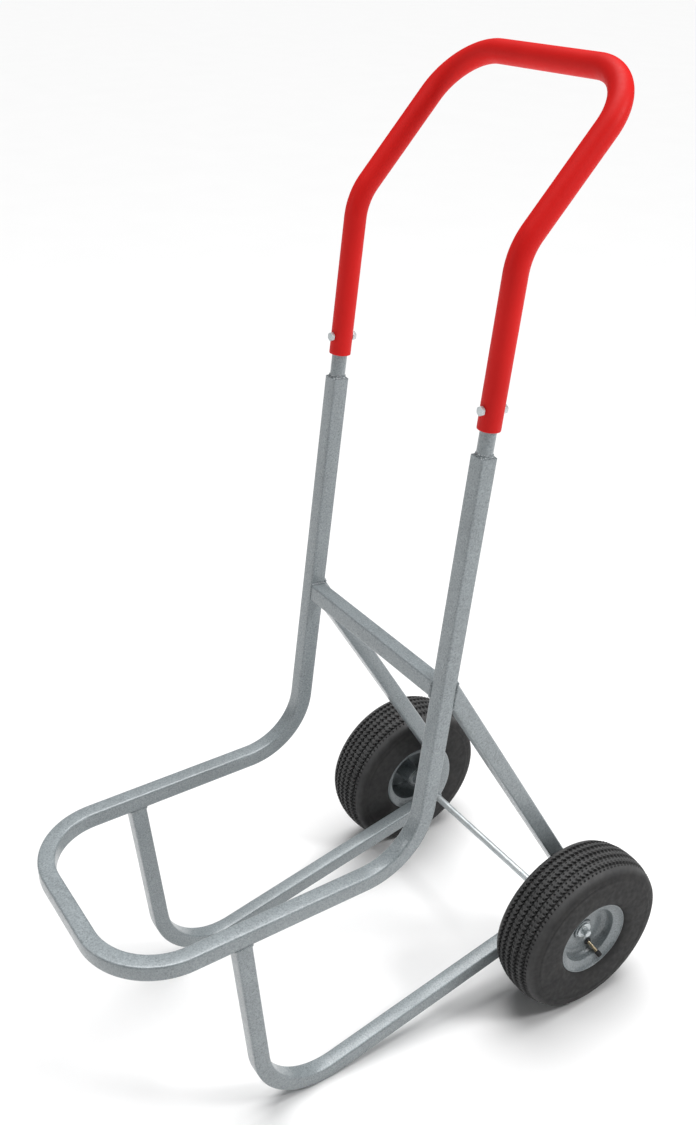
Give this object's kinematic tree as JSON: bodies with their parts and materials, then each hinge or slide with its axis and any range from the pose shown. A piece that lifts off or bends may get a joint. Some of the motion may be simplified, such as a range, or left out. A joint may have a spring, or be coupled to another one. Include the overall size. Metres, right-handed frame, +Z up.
{
  "type": "two-wheeled bottle cart",
  "caption": "Two-wheeled hand cart of bent square tube with an open platform, wrapped side tubes, a bolted loop handle and pneumatic tyres.",
  "frame": {"origin": "on the floor, under the middle of the cart's outline", "axes": "+Z up, +X along the axle towards the right wheel, +Y from the platform's front bar towards the wheels"},
  "size_m": [0.5636, 0.8866, 1.4042],
  "materials": {
    "frame": "satin grey coating",
    "grip": "satin red sleeve",
    "zinc": "bright zinc plate",
    "tyre": "moulded rubber",
    "rubber": "matte",
    "rim": "satin grey coating",
    "brass": "machined"
  },
  "bodies": {
    "frame": {"main_frame": "frame", "crossbar": "frame", "handle_tube": "frame", "handle_grip": "grip", "axle": "zinc", "side_tube_left": "frame", "handle_stub_left": "frame", "handle_bolt_left": "zinc", "handle_nut_left": "zinc", "axle_bushing_left": "frame", "washer_inner_left": "zinc", "washer_outer_left": "zinc", "cotter_pin_left": "zinc", "side_tube_right": "frame", "handle_stub_right": "frame", "handle_bolt_right": "zinc", "handle_nut_right": "zinc", "axle_bushing_right": "frame", "washer_inner_right": "zinc", "washer_outer_right": "zinc", "cotter_pin_right": "zinc"},
    "wheel_left": {"tyre_left": "tyre", "inner_tube_left": "rubber", "rim_outboard_left": "rim", "rim_inboard_left": "rim", "hub_left": "rim", "bearing_inner_left": "zinc", "bearing_outer_left": "zinc", "valve_stem_left": "brass", "valve_grommet_left": "rubber", "valve_cap_left": "rubber"},
    "wheel_right": {"tyre_right": "tyre", "inner_tube_right": "rubber", "rim_outboard_right": "rim", "rim_inboard_right": "rim", "hub_right": "rim", "bearing_inner_right": "zinc", "bearing_outer_right": "zinc", "valve_stem_right": "brass", "valve_grommet_right": "rubber", "valve_cap_right": "rubber"}
  },
  "joints": [
    {"name": "wheel_left_spin", "type": "hinge", "parent": "frame", "child": "wheel_left", "pos_m": [-0.2355, 0.30525, 0.138], "axis": [1, 0, 0], "continuous": true},
    {"name": "wheel_right_spin", "type": "hinge", "parent": "frame", "child": "wheel_right", "pos_m": [0.2355, 0.30525, 0.138], "axis": [1, 0, 0], "continuous": true}
  ]
}
